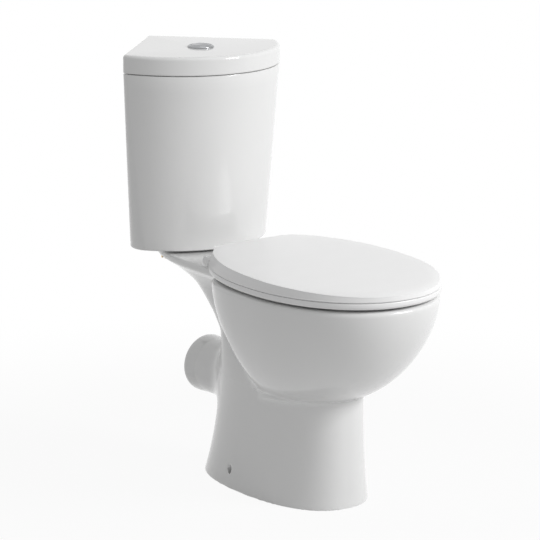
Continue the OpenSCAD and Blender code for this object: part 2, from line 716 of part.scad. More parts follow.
// ---- Flush valve ----
washer_t = 3;
base_t = 5;
base_z = floor_z + washer_t;
seat_lip_z = base_z + base_t + 4;
tail_bore_d = tail_d - 8;
tail_low = deck_h - inlet_recess - 6;
leg_r = tail_d / 2 + 4;
head_t = 28;
head_low = tower_top_z - head_t;
well_floor = 3;  // thickness left under the wells that the rods slide in
guide_share = 0.664;  // how far up the legs the ring round the overflow tube sits
rod_low = head_low + well_floor + button_travel + 5;
module tube(d_out, d_in, h) {
    difference() {
        cylinder(d = d_out, h = h);
        translate([0, 0, -cut]) cylinder(d = d_in, h = h + 2 * cut);
    }
}
module flush_valve_base() {
    color("ivory")
    translate([0, flush_y, 0]) {
        translate([0, 0, tail_low]) tube(tail_d, tail_bore_d, base_z + base_t - tail_low);
        translate([0, 0, base_z]) tube(tail_d + 24, tail_bore_d, base_t);
        translate([0, 0, base_z]) tube(tail_d - 2, tail_bore_d, seat_lip_z - base_z);
    }
}
module flush_valve_tower() {
    color("ivory")
    translate([0, flush_y, 0]) {
        for (a = [45:90:315]) rotate([0, 0, a])
            translate([leg_r - 2.5, -3, base_z + base_t]) cube([5, 6, head_low - base_z - base_t + 1]);
        translate([0, 0, mix(base_z + base_t, head_low, guide_share)])
            tube(2 * leg_r + 3, overflow_d + 2 * slide, 6);
        difference() {
            translate([0, 0, head_low]) cylinder(r = leg_r + 3, h = head_t);
            for (x = [full_rod_x, half_rod_x])
                translate([x, 0, head_low + well_floor]) cylinder(d = rod_d + 2 * slide, h = head_t);
        }
    }
}
seal_t = 3;
lift = 24;  // how far the overflow tube rises in a flush
module overflow_tube() {
    color("seashell")
    translate([0, flush_y, 0]) {
        translate([0, 0, seat_lip_z]) tube(overflow_d, overflow_d - 5, head_low - lift - 5 - seat_lip_z);
        translate([0, 0, seat_lip_z + seal_t]) tube(tail_d - 2, overflow_d - 5, 4);
    }
}
module flush_seal() {
    color("dimgray")
    translate([0, flush_y, seat_lip_z]) tube(tail_d + 1, overflow_d + 2 * fit, seal_t);
}
module flush_valve_washer() {
    color("dimgray")
    translate([0, flush_y, floor_z]) tube(tail_d + 22, tail_d + 2 * fit, washer_t);
}
module flush_valve_backnut() {
    color("ivory")
    translate([0, flush_y, cis_low - plate_t - nut_t]) difference() {
        cylinder(d = tail_d + 9, h = nut_t);
        translate([0, 0, -cut]) cylinder(d = tail_d + 2 * fit, h = nut_t + 2 * cut);
        for (a = [0:45:315]) rotate([0, 0, a])
            translate([tail_d / 2 + 6.5, 0, -cut]) cylinder(r = 3, h = nut_t + 2 * cut);
    }
}

// ---- Coupling of the cistern to the pan ----
module coupling_plate() {
    color("silver")
    difference() {
        union() {
            translate([0, flush_y, cis_low - plate_t]) cylinder(d = tail_d + 24, h = plate_t);
            at(couple_holes, cis_low - plate_t) cylinder(d = couple_d + 16, h = plate_t);
            translate([-couple_spread / 2, flush_y - couple_d / 2 - 8, cis_low - plate_t])
                cube([couple_spread, couple_d + 16, plate_t]);
        }
        translate([0, flush_y, cis_low - plate_t - cut])
            cylinder(d = tail_d + 2 * slide, h = plate_t + 2 * cut);
        at(couple_holes, cis_low - plate_t - cut) cylinder(d = couple_d + 2 * slide, h = plate_t + 2 * cut);
    }
}
module doughnut_gasket() {
    color("dimgray")
    translate([0, flush_y, deck_h - inlet_recess])
        tube(inlet_recess_d - 6, tail_d + 11, cis_low - plate_t - deck_h + inlet_recess);
}
couple_seal_t = 3;
couple_washer_t = 2;
couple_nut_t = 7;
couple_face_z = deck_h - couple_web;  // underside that the washers press on
module coupling_bolts() {
    low = couple_face_z - couple_washer_t - couple_nut_t - 3;
    color("gold")
    at(couple_holes, low) {
        cylinder(d = couple_d, h = floor_z + couple_seal_t - low + 1);
        translate([0, 0, floor_z + couple_seal_t - low])
            cylinder(d = couple_d * 1.9, h = couple_d * 0.65, $fn = 6);
    }
}
module coupling_seals() {
    color("dimgray")
    at(couple_holes, floor_z) tube(couple_d * 2.5, couple_d + 2 * fit, couple_seal_t);
}
module coupling_washers() {
    color("silver")
    at(couple_holes, couple_face_z - couple_washer_t)
        tube(couple_d * 2.6, couple_d + 2 * fit, couple_washer_t);
}
module coupling_wing_nuts() {
    color("gold")
    at(couple_holes, couple_face_z - couple_washer_t - couple_nut_t)
        wing_nut(couple_d, couple_d * 1.6, couple_d * 2.75, couple_nut_t);
}

// ---- Fill valve ----
inlet_y = flush_y + 8;
inlet_at = [[inlet_x, inlet_y]];
shank_low = cis_low - 30;
backnut_h = 8;
relief_h = 1.5;  // groove that ends the thread of the inlet under its nut
fill_head_z = tower_top_z - 22;
riser_d = 16;
head_d = 30;
module fill_valve_shank() {
    color("white")
    at(inlet_at, 0) difference() {
        union() {
            translate([0, 0, shank_low]) cylinder(d = inlet_d, h = floor_z + washer_t + 1 - shank_low);
            translate([0, 0, floor_z + washer_t]) cylinder(d = inlet_d + 11, h = 4);
            translate([0, 0, floor_z + washer_t])
                cylinder(d = riser_d, h = fill_head_z + 10 - floor_z - washer_t);
        }
        translate([0, 0, shank_low - cut]) cylinder(d = riser_d - 6, h = fill_head_z + 11 + cut - shank_low);
        translate([0, 0, cis_low - backnut_h - relief_h]) tube(inlet_d + 4, inlet_d - 2, relief_h);
    }
}
module fill_valve_washer() {
    color("dimgray")
    at(inlet_at, floor_z) tube(inlet_d + 10, inlet_d + 2 * fit, washer_t);
}
module fill_valve_backnut() {
    color("white")
    at(inlet_at, cis_low - backnut_h) difference() {
        cylinder(d = inlet_d * 1.6, h = backnut_h, $fn = 6);
        translate([0, 0, -cut]) cylinder(d = inlet_d + 2 * fit, h = backnut_h + 2 * cut);
    }
}
// Directions in the cistern: the float arm points at the corner side of the centre plane
ear_gap = 9;
ear_run = head_d / 2 + 7;
arm_z = fill_head_z + 15;
module by_arm() {
    translate([inlet_x, inlet_y, 0]) rotate([0, 0, 135]) children();
}
module fill_valve_head() {
    color("royalblue")
    difference() {
        union() {
            at(inlet_at, fill_head_z) cylinder(d = head_d, h = 26);
            by_arm() for (s = [-1, 1])
                translate([0, s * (ear_gap / 2 + 1.5) - 1.5, arm_z - 4]) cube([ear_run + 4, 3, 9]);
        }
        at(inlet_at, fill_head_z - cut) cylinder(d = riser_d + 2 * fit, h = 10 + cut);
        by_arm() translate([ear_run, 20, arm_z]) rotate([90, 0, 0]) cylinder(d = 3 + 2 * fit, h = 40);
    }
}
module float_pin() {
    color("silver")
    by_arm() translate([ear_run, ear_gap / 2 + 3, arm_z]) rotate([90, 0, 0]) cylinder(d = 3, h = ear_gap + 6);
}
module float_arm() {
    color("white")
    by_arm() difference() {
        union() {
            translate([ear_run - 4, -3.5, arm_z - 2.5]) cube([arm_l + 8, 7, 5]);
            translate([ear_run, 3.5, arm_z]) rotate([90, 0, 0]) cylinder(d = 8, h = 7);
        }
        translate([ear_run, 20, arm_z]) rotate([90, 0, 0]) cylinder(d = 3 + 2 * fit, h = 40);
        translate([ear_run + arm_l, 0, arm_z - 20]) cylinder(d = 3 + 2 * fit, h = 40);
    }
}
float_h = 48;
float_top = arm_z - 34;
module float_link() {
    color("silver")
    by_arm() translate([ear_run + arm_l, 0, float_top - 4]) cylinder(d = 3, h = arm_z + 6 - float_top + 4);
}
module float_cup() {
    color("white")
    by_arm() translate([ear_run + arm_l, 0, float_top - float_h]) difference() {
        union() {
            cylinder(d = float_d, h = float_h);
            cylinder(d = 9, h = float_h + 3);
        }
        translate([0, 0, -cut]) cylinder(d = float_d - 3, h = float_h - 2 + cut);
        translate([0, 0, float_h - 10]) cylinder(d = 3 + 2 * fit, h = 20);
    }
}

pan();
cistern_body();
cistern_lid();
seat_ring();
seat_cover();
ring_buffers();
cover_buffers();
hinge_posts();
hinge_pins();
seat_studs();
seat_washers();
seat_wing_nuts();
button_bezel();
full_flush_button();
half_flush_button();
full_flush_rod();
half_flush_rod();
button_lock_nut();
flush_valve_base();
flush_valve_tower();
overflow_tube();
flush_seal();
flush_valve_washer();
flush_valve_backnut();
coupling_plate();
doughnut_gasket();
coupling_bolts();
coupling_seals();
coupling_washers();
coupling_wing_nuts();
fill_valve_shank();
fill_valve_head();
float_arm();
float_link();
float_cup();
float_pin();
fill_valve_washer();
fill_valve_backnut();
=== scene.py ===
"""Corner toilet: glazed pan and cistern, moulded seat and plated buttons, dressed round the CAD frame."""
import json
import math

import bpy
import numpy as np
from mathutils import Matrix, Vector


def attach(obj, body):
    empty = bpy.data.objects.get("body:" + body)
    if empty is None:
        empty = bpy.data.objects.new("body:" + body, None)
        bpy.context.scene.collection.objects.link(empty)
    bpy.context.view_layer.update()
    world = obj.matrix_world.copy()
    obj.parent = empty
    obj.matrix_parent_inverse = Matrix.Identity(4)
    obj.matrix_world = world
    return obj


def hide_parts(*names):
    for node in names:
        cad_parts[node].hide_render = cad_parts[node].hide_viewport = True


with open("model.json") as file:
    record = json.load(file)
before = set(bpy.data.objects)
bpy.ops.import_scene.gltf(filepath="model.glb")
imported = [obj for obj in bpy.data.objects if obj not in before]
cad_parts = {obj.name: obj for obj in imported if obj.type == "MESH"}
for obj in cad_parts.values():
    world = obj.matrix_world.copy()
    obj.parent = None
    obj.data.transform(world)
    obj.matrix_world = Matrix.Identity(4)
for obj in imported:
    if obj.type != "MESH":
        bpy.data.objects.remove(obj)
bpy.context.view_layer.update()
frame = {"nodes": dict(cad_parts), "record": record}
MM = 0.001

# ---- Sizes of the real thing, in millimetres ----
NOSE_Y, CORNER_Y = -402.0, 402.0
RIM_H, RIM_W, RIM_NOSE_Y, WALL = 404.0, 355.0, -399.0, 11.0
WAIST_H, WAIST_W, WAIST_FRONT_Y, WAIST_BACK_Y = 203.0, 186.0, -235.0, 111.0
FOOT_W, FOOT_FRONT_Y, FOOT_BACK_Y = 218.0, -243.0, 146.0
HINGE_Y, HINGE_Z = 51.0, 420.5
DECK_H, SHELF_HALF, SHELF_BACK_Y = 408.0, 114.0, 290.0
SEAT_W, SEAT_L, SEAT_END_Y = 358.0, 453.0, HINGE_Y + 40
WIDEST_Y = NOSE_Y + 0.515 * SEAT_L
BOWL_BACK_Y = HINGE_Y - 18
WAIST_MID_Y = (WAIST_FRONT_Y + WAIST_BACK_Y) / 2
MOUTH_HALF, MOUTH_FRONT_Y, MOUTH_BACK_Y = 139.5, -361.0, -11.0
OUTLET_Y, OUTLET_H, SPIGOT_ROOT_Y = 204.0, 177.0, 85.75
OUTLET_R, OUTLET_BORE_R, OUTLET_THROAT_R = 55.0, 44.0, 36.0
TRAP_R, SUMP_H, WEIR_H = 34.0, 114.0, 235.0
FIX_X, FIX_Y, FIX_H, FIX_LEAN, FIX_R = 99.0, -12.0, 33.0, math.radians(22), 6.0
FLUSH_Y, FLUSH_WAY_R, FLUSH_RECESS_R = 228.0, 32.0, 47.0
STUD_X, COUPLING_X, BOLT_HOLE_R = 77.5, 78.0, 5.5
LID_TOP, LID_LOW, LID_FRONT_Y = 785.0, 749.0, 107.0
CISTERN_LOW, CISTERN_FLOOR, CISTERN_WALL = 413.0, 425.0, 10.0
CORNER_R, BOW_R_LOW, BOW_R_TOP, SIDE_R_LOW, SIDE_R_TOP = 9.0, 181.0, 190.0, 42.0, 15.0
INLET_X, INLET_Y, INLET_R = 114.0, 236.0, 12.0
RING_LOW, RING_T, RING_SIDE_W, RING_NOSE_W = 408.5, 13.0, 66.0, 72.0
COVER_LOW, COVER_NOSE_T, COVER_REAR_T = 422.2, 13.5, 23.5
BARREL_R, PIN_BORE_R = 9.0, 3.55
RING_BARREL_X, COVER_BARREL_X = (54.7, 69.7), (85.3, 114.0)
PAD_SPOTS, PAD_STEM_R = 34, 3.05
BUTTON_R, BEZEL_R, LID_HOLE_R = 18.5, 25.0, 21.55
EGG_NOSE = 2.1  # how square the front half of an egg-shaped plan is, where 2 gives an ellipse


def mix(a, b, u):
    """The value a share u of the way from a to b."""
    return a + (b - a) * u


# ---- Meshes ----
def add_mesh(name, points, faces):
    """A bare object from points in millimetres."""
    mesh = bpy.data.meshes.new(name)
    mesh.from_pydata((np.asarray(points, float) * MM).tolist(), [], faces)
    mesh.validate()
    mesh.update()
    obj = bpy.data.objects.new(name, mesh)
    bpy.context.scene.collection.objects.link(obj)
    return obj


def loft(name, rings, ends=True):
    """A skin through rings of equal count: closed by a cap at either end, or else joined end to end."""
    rings = [np.asarray(r, float) for r in rings]
    n, m = len(rings[0]), len(rings)
    points = np.concatenate(rings)
    i = np.arange(n)
    j = (i + 1) % n
    faces = []
    for k in range(m - 1 if ends else m):
        low, high = k * n, (k + 1) % m * n
        faces += np.stack([low + i, low + j, high + j, high + i], 1).tolist()
    if ends:
        points = np.vstack([points, rings[0].mean(0), rings[-1].mean(0)])
        low, high = m * n, m * n + 1
        faces += [[b, a, low] for a, b in zip(i.tolist(), j.tolist())]
        top = (m - 1) * n
        faces += [[top + a, top + b, high] for a, b in zip(i.tolist(), j.tolist())]
    return add_mesh(name, points, faces)


def turned(name, profile, at, along, count=64):
    """A body turned from [distance along its axis, radius] pairs, starting at a point."""
    along = Vector(along).normalized()
    side = along.orthogonal().normalized()
    other = along.cross(side)
    turn = np.linspace(0, 2 * math.pi, count, endpoint=False)
    circle = np.outer(np.cos(turn), side) + np.outer(np.sin(turn), other)
    return loft(name, [np.asarray(at) + np.asarray(along) * d + circle * r for d, r in profile])


def rod(at, along, length, radius, edge=0.0, count=64):
    """A plain round bar, with its ends chamfered by edge."""
    ends = [[0, radius - edge], [edge, radius], [length - edge, radius], [length, radius - edge]]
    return turned("rod", ends if edge else [ends[0], ends[-1]], at, along, count)


def block(low, high, edge=1.0):
    """A box with chamfered corners."""

    def ring(z, e):
        x0, x1, y0, y1 = low[0] + e, high[0] - e, low[1] + e, high[1] - e
        c = edge
        return [[x0 + c, y0, z], [x1 - c, y0, z], [x1, y0 + c, z], [x1, y1 - c, z],
                [x1 - c, y1, z], [x0 + c, y1, z], [x0, y1 - c, z], [x0, y0 + c, z]]

    return loft("block", [ring(low[2], edge), ring(low[2] + edge, 0), ring(high[2] - edge, 0),
                          ring(high[2], edge)])


def work(obj, operation, tools):
    """Cuts tools out of obj, or joins them to it, and uses them up."""
    for tool in tools:
        step = obj.modifiers.new("step", "BOOLEAN")
        step.operation, step.object, step.solver = operation, tool, "MANIFOLD"
    view = bpy.context.evaluated_depsgraph_get()
    made = bpy.data.meshes.new_from_object(obj.evaluated_get(view))
    obj.modifiers.clear()
    obj.data = made
    for tool in tools:
        bpy.data.objects.remove(tool)


def dress(obj, name, finish, slot, body, *nodes, crease=32):
    """Names a finished piece, shades it, and lets it stand for its CAD nodes."""
    obj.name = obj.data.name = name
    obj.data.materials.clear()
    obj.data.materials.append(finish)
    obj.data.shade_smooth()
    obj.data.set_sharp_from_angle(angle=math.radians(crease))
    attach(obj, body)
    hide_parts(*nodes)
    return obj


# ---- Pan, as a distance to its glazed surface that is below zero in the clay ----
def melt(a, b, k):
    """The lesser of two distances, with a fillet of size k where they meet."""
    h = np.clip(0.5 + 0.5 * (b - a) / k, 0, 1)
    return mix(b, a, h) - k * h * (1 - h)


def wear(a, b, k):
    """The greater of two distances, with the edge between them rounded by k."""
    return -melt(-a, -b, k)


def egg_gap(x, y, half, front, back, mid, e_front, e_back):
    """Distance in plan from an egg-shaped outline."""
    dy = y - mid
    ahead = dy < 0
    reach = np.where(ahead, mid - front, back - mid)
    e = np.where(ahead, e_front, e_back)
    far = np.hypot(x, dy) + 1e-3
    ratio = ((np.abs(x) / half) ** e + (np.abs(dy) / reach) ** e) ** (1 / e)
    return far * (1 - 1 / np.maximum(ratio, 1e-5))


def square_on(gap):
    """Turns a distance in plan into the distance square to a sloping wall."""

    def true(x, y, z):
        slope = (gap(x, y, z + 1) - gap(x, y, z - 1)) / 2
        return gap(x, y, z) / np.sqrt(1 + slope * slope)

    return true


def faired(levels, values, spread):
    """A value that follows the heights, with its kinks rounded over spread."""
    low, high = -80.0, 520.0
    order = np.argsort(levels)
    fine = np.arange(low, high)
    weight = np.exp(-0.5 * (np.arange(-3 * spread, 3 * spread + 1) / spread) ** 2)
    plain = np.interp(np.arange(low - 3 * spread, high + 3 * spread),
                      np.asarray(levels, float)[order], np.asarray(values, float)[order])
    smooth = np.convolve(plain, weight / weight.sum(), "valid")
    return lambda z: np.interp(z, fine, smooth)


@square_on
def bowl_gap(x, y, z):
    """The bowl's outside, which draws in from the rim to the waist ever faster."""
    down = np.clip((RIM_H - z) / (RIM_H - WAIST_H), 0, 1)
    drawn = 1 - (1 - down ** 1.8) ** 0.75
    return egg_gap(x, y, mix(RIM_W, WAIST_W, drawn) / 2, mix(RIM_NOSE_Y, WAIST_FRONT_Y, drawn),
                   mix(BOWL_BACK_Y, BOWL_BACK_Y - 110, drawn), mix(WIDEST_Y, WAIST_MID_Y - 60, drawn),
                   EGG_NOSE, mix(3, 2.4, drawn))


# The stem is the pedestal and, above it, the neck that flares out into the shelf under the cistern.
# Each row has a height, half the width there and the y of the back.
STEM_FLARE = np.array([[DECK_H, SHELF_HALF, SHELF_BACK_Y], [395, SHELF_HALF, SHELF_BACK_Y],
                       [392, 109.6, 280], [388, 103, 264], [384, 98, 251], [380, 94, 241],
                       [376, 91, 233], [372, 87, 222], [368, 84, 212], [363, 80.5, 202],
                       [358, 77.7, 193], [353, 75.5, 185], [348, 73.7, 179], [338, 70.7, 168],
                       [330, 68.7, 160], [322, 67, 152], [313, 65, 143], [303, 63, 133],
                       [292, 62, 124], [280, 62, 114], [270, 65, 108], [255, 72, 106],
                       [240, 80, 107], [222, 88, 110], [WAIST_H, WAIST_W / 2, WAIST_BACK_Y],
                       [150, WAIST_W / 2, WAIST_BACK_Y]])
stem_half, stem_back = (faired(STEM_FLARE[:, 0], STEM_FLARE[:, k], 4) for k in (1, 2))
stem_front = faired([WAIST_H, 300, 391, 399],
                    [WAIST_FRONT_Y, HINGE_Y - 110, HINGE_Y - 110, HINGE_Y - 60], 3)


@square_on
def stem_gap(x, y, z):
    """The stem's outside: it widens to the foot below the waist, and becomes squarer in the neck."""
    foot = (1 - np.clip(z / WAIST_H, 0, 1)) ** 2
    rise = np.clip((z - WAIST_H) / 95, 0, 1)
    rise = rise * rise * (3 - 2 * rise)
    low = z < WAIST_H
    half = np.where(low, mix(WAIST_W, FOOT_W, foot) / 2, stem_half(z))
    front = np.where(low, mix(WAIST_FRONT_Y, FOOT_FRONT_Y, foot), stem_front(z))
    back = np.where(low, mix(WAIST_BACK_Y, FOOT_BACK_Y, foot), stem_back(z))
    mid = np.where(low, mix(WAIST_MID_Y, (FOOT_FRONT_Y + FOOT_BACK_Y) / 2, foot),
                   mix(WAIST_MID_Y, HINGE_Y - 15, rise))
    e = mix(2.3, 3, rise)
    return egg_gap(x, y, half, front, back, mid, e, e)


# Each row has a depth below the rim, the width there as a share of the bowl's mouth, and how far
# the front and the back lie inside the mouth's.
CAVITY = np.array([[324, 0.154, 280, 40], [300, 0.226, 262, 36], [256, 0.269, 238, 32],
                   [239, 0.305, 214, 22], [214, 0.398, 180, 10], [189, 0.527, 136, 2],
                   [154, 0.713, 80, -3], [114, 0.885, 34, -5], [74, 1.014, 4, -7],
                   [38, 1.065, -9, -7], [30, 1, 0, 0], [-20, 1, 0, 0]])
cavity_half, cavity_front, cavity_back = (
    faired(RIM_H - CAVITY[:, 0], values, 4)
    for values in (MOUTH_HALF * CAVITY[:, 1], MOUTH_FRONT_Y + CAVITY[:, 2], MOUTH_BACK_Y - CAVITY[:, 3]))


@square_on
def cavity_plan_gap(x, y, z):
    """The bowl's inside, with no floor yet."""
    front, back = cavity_front(z), cavity_back(z)
    mid = mix(WIDEST_Y, (front + back) / 2, np.clip((RIM_H - z) / 214, 0, 1))
    return egg_gap(x, y, cavity_half(z), front, back, mid, EGG_NOSE, 2.4)


def to_outlet(share):
    """The y a share of the way from the back of the mouth to the end of the outlet."""
    return mix(MOUTH_BACK_Y, OUTLET_Y, share)


# The trap's middle line, as y and height: along the sump, up over the weir and down to the outlet.
TRAP = [[MOUTH_BACK_Y - 62, SUMP_H], [MOUTH_BACK_Y + 5, SUMP_H], [to_outlet(0.21), WEIR_H],
        [to_outlet(0.35), WEIR_H], [to_outlet(0.43), OUTLET_H], [SPIGOT_ROOT_Y + 10, OUTLET_H]]


def trap_gap(x, y, z):
    """The waterway through the trap: a round bore along TRAP."""
    gap = None
    for (ya, za), (yb, zb) in zip(TRAP, TRAP[1:]):
        run = (yb - ya) ** 2 + (zb - za) ** 2
        t = np.clip(((y - ya) * (yb - ya) + (z - za) * (zb - za)) / run, 0, 1)
        one = np.sqrt(x * x + (y - mix(ya, yb, t)) ** 2 + (z - mix(za, zb, t)) ** 2) - TRAP_R
        gap = one if gap is None else melt(gap, one, 14)
    return gap


def hole_gap(x, y, z, at, lean, radius, low, high):
    """Distance from a round hole through the point at, leaning outwards, and its mirror image."""
    dx, dy, dz = np.abs(x) - at[0], y - at[1], z - at[2]
    along = dx * math.sin(lean) + dz * math.cos(lean)
    off = np.hypot(dx * math.cos(lean) - dz * math.sin(lean), dy)
    return wear(off - radius, np.abs(along - (low + high) / 2) - (high - low) / 2, 3)


def outside_gap(x, y, z):
    """The pan before it is hollowed: bowl and stem with a fillet between them, and the spigot."""
    bowl = wear(bowl_gap(x, y, z), z - RIM_H, 9)
    bowl = wear(bowl, WAIST_H - 4 - z, 4)
    stem = wear(stem_gap(x, y, z), z - DECK_H, 7)
    below_rim = np.clip((RIM_H - 10 - z) / 30, 0, 1)
    near_waist = np.clip((WAIST_H + 57 - z) / 50, 0, 1)
    at_nose = np.clip((WAIST_FRONT_Y + 90 - y) / 70, 0, 1)
    fillet = 3 + 31 * below_rim - (11 + 14 * at_nose) * near_waist
    skin = melt(bowl, stem, fillet)
    spigot = wear(np.hypot(x, z - OUTLET_H) - (OUTLET_R - 2), y - OUTLET_Y + 6, 3)
    spigot = wear(spigot, SPIGOT_ROOT_Y - y, 3)
    return melt(skin, spigot, 30)


def pan_gap(x, y, z):
    """The pan's clay, with the bowl, the trap, the open underside, and room for nuts and screws."""
    skin = outside_gap(x, y, z)
    cavity = wear(cavity_plan_gap(x, y, z), SUMP_H - TRAP_R - z, 14)
    trap = trap_gap(x, y, z)
    pad = np.maximum(np.hypot(np.abs(x) - FIX_X + 20, y - FIX_Y) - 24, z - FIX_H - 32)
    roof = z - (WAIST_H - 13)
    hollow = np.maximum.reduce([skin + WALL, WALL - cavity, WALL - trap, roof, -pad])
    gap = wear(skin, -melt(cavity, trap, 10), 8)
    gap = np.maximum(gap, -hollow)
    stud_pocket = hole_gap(x, y, z, (STUD_X, HINGE_Y, DECK_H - 19), 0, 15, -29, 0)
    bolt_pocket = hole_gap(x, y, z, (COUPLING_X, FLUSH_Y, DECK_H - 9), 0, 12.5, -50, 0)
    screw_mouth = hole_gap(x, y, z, (FIX_X + 4.5, FIX_Y, FIX_H + 3), math.radians(45), 6.3, -9, 20)
    gap = wear(gap, -stud_pocket, 4)
    gap = wear(gap, -bolt_pocket, 3)
    gap = wear(gap, -screw_mouth, 3)
    return wear(gap, -z, 3)


def skin_of(gap, low, high, step):
    """Points and quads of the surface where a distance is zero, the same on both sides of x = 0."""
    counts = [int(math.ceil((h - l) / step)) + 1 for l, h in zip(low, high)]
    axes = [l + step * np.arange(c) for l, c in zip(low, counts)]
    grid = gap(*np.meshgrid(*axes, indexing="ij"))
    grid = np.concatenate([grid[:0:-1], grid])
    axes[0] = np.concatenate([-axes[0][:0:-1], axes[0]])
    inside = grid < 0
    shape = np.array(inside.shape)
    quads = []
    for a in range(3):
        b, c = (a + 1) % 3, (a + 2) % 3
        near = np.take(inside, range(shape[a] - 1), a)
        far = np.take(inside, range(1, shape[a]), a)
        at = np.argwhere(near != far)
        out = near[tuple(at.T)]
        eb, ec = np.eye(3, dtype=int)[b], np.eye(3, dtype=int)[c]
        cells = np.stack([at - eb - ec, at - ec, at, at - eb], 1)
        cells[~out] = cells[~out][:, ::-1]
        quads.append(np.ravel_multi_index(np.moveaxis(cells, 2, 0), shape))
    quads = np.concatenate(quads)
    used, faces = np.unique(quads, return_inverse=True)
    faces = faces.reshape(-1, 4)
    place = np.stack(np.unravel_index(used, shape), 1)
    points = np.stack([ax[place[:, k]] for k, ax in enumerate(axes)], 1) + step / 2
    return points, faces


def settle(gap, points, faces, step, rounds):
    """Evens out the net and draws its points onto the surface."""
    probe = 0.2
    edges = np.concatenate([faces[:, [k, (k + 1) % 4]] for k in range(4)])
    edges = np.concatenate([edges, edges[:, ::-1]])
    links = np.bincount(edges[:, 0], minlength=len(points))[:, None]

    def onto(p, times):
        for _ in range(times):
            g = gap(*p.T)
            slope = np.stack([gap(*(p + d).T) - g for d in np.eye(3) * probe], 1) / probe
            steep = np.maximum((slope ** 2).sum(1), 0.05)
            move = slope * (g / steep)[:, None]
            size = np.linalg.norm(move, axis=1, keepdims=True)
            p = p - move * np.minimum(1, 0.6 * step / np.maximum(size, 1e-9))
        return p

    points = onto(points, 2)
    for _ in range(rounds):
        mean = np.stack([np.bincount(edges[:, 0], points[edges[:, 1], k], len(points))
                         for k in range(3)], 1) / links
        points = onto(mix(points, mean, 0.6), 1)
    return onto(points, 1)


def make_pan(finish):
    """The glazed casting, with a turned bead on its outlet and every hole drilled true."""
    step = 3.0
    low = [0, NOSE_Y - step, -2 * step]
    high = [RIM_W / 2 + 8.5, SHELF_BACK_Y + 7, DECK_H + 2 * step]
    points, faces = skin_of(pan_gap, low, high, step)
    points = settle(pan_gap, points, faces, step, 3)
    pan = add_mesh("pan_glazed", points, faces.tolist())
    edge = [[0, 6], [0, 2.6], [0.5, 1.2], [1.4, 0.3], [2.8, 0], [10, 0], [30, 1.8], [34, 6]]
    bead = [[along, OUTLET_R - inset] for along, inset in edge]
    work(pan, "UNION", [turned("bead", bead, (0, OUTLET_Y, OUTLET_H), (0, -1, 0), 128)])
    cuts = [rod((0, OUTLET_Y + 1, OUTLET_H), (0, -1, 0), 60, OUTLET_BORE_R, count=96),
            rod((0, OUTLET_Y + 1, OUTLET_H), (0, -1, 0), 118, OUTLET_THROAT_R, count=96),
            rod((0, FLUSH_Y, DECK_H - 5.5), (0, 0, 1), 9, FLUSH_RECESS_R, count=96),
            rod((0, FLUSH_Y, DECK_H - 24), (0, 0, 1), 26, FLUSH_WAY_R, count=96)]
    for side in (-1, 1):
        cuts += [rod((side * x, y, DECK_H - 30), (0, 0, 1), 32, BOLT_HOLE_R, count=32)
                 for x, y in ((STUD_X, HINGE_Y), (COUPLING_X, FLUSH_Y))]
        lean = Vector((side * math.sin(FIX_LEAN), 0, math.cos(FIX_LEAN)))
        start = Vector((side * FIX_X, FIX_Y, FIX_H)) - 60 * lean
        cuts.append(rod(start, lean, 61, FIX_R, count=48))
    work(pan, "DIFFERENCE", cuts)
    return dress(pan, "pan_glazed", finish, "pan_ceramic", "toilet", "pan", crease=38)


# ---- Cistern ----
def arc(x, y, radius, start, end, count):
    """Points in plan on a circle, from one angle in degrees to another."""
    a = np.radians(np.linspace(start, end, count))
    return np.stack([x + radius * np.cos(a), y + radius * np.sin(a)], 1)


def corner_plan(tip, front, bow_r, side_r, inset):
    """Plan of a corner cistern: two walls at 45 degrees, rounded corners and a bowed front."""
    slant = math.sqrt(0.5)
    bow, side, tip_r = bow_r - inset, max(side_r - inset, 2), max(CORNER_R - inset, 1.5)
    apex_y = tip + CORNER_R * (math.sqrt(2) - 1) - inset * math.sqrt(2)
    bow_y = front + bow_r
    deep = apex_y - bow_y
    # The side corner's circle touches the wall, and the bow from inside: the wall's length solves
    # length ** 2 - 2 * deep * slant * length + rest = 0.
    rest = side * side + deep * deep - 2 * deep * slant * side - (bow - side) ** 2
    length = deep * slant + math.sqrt(deep * deep * slant * slant - rest)
    side_x, side_y = length * slant - side * slant, apex_y - (length + side) * slant
    turn = math.degrees(math.atan2(side_y - bow_y, side_x))
    apex = arc(0, apex_y - tip_r * math.sqrt(2), tip_r, 90, 45, 7)
    corner = arc(side_x, side_y, side, 45, turn, 16)
    wall = np.linspace(apex[-1], corner[0], 14)[1:-1]
    right = np.concatenate([apex, wall, corner, arc(0, bow_y, bow, turn, -90, 44)[1:]])
    left = right[1:-1] * [-1, 1]
    return np.concatenate([right[::-1], left])


def at_height(plan, z):
    """A plan as points in space, at one height or at one for each point."""
    return np.column_stack([plan, np.broadcast_to(z, len(plan))])


def arc_steps(radius, count):
    """[drop, inset] pairs of a rounded edge, from its side to its flat."""
    a = np.linspace(0, math.pi / 2, count)
    return np.stack([radius * (1 - np.sin(a)), radius * (1 - np.cos(a))], 1)


def body_ring(z, inset):
    """The cistern body's outline at a height: it tapers to its foot, the most at the front."""
    u = (z - CISTERN_LOW) / (LID_LOW - CISTERN_LOW)
    plan = corner_plan(CORNER_Y - mix(7, 0.5, u), LID_FRONT_Y + mix(34, 0.5, u),
                       mix(BOW_R_LOW, BOW_R_TOP, u), mix(SIDE_R_LOW, SIDE_R_TOP, u), inset)
    return at_height(plan, z)


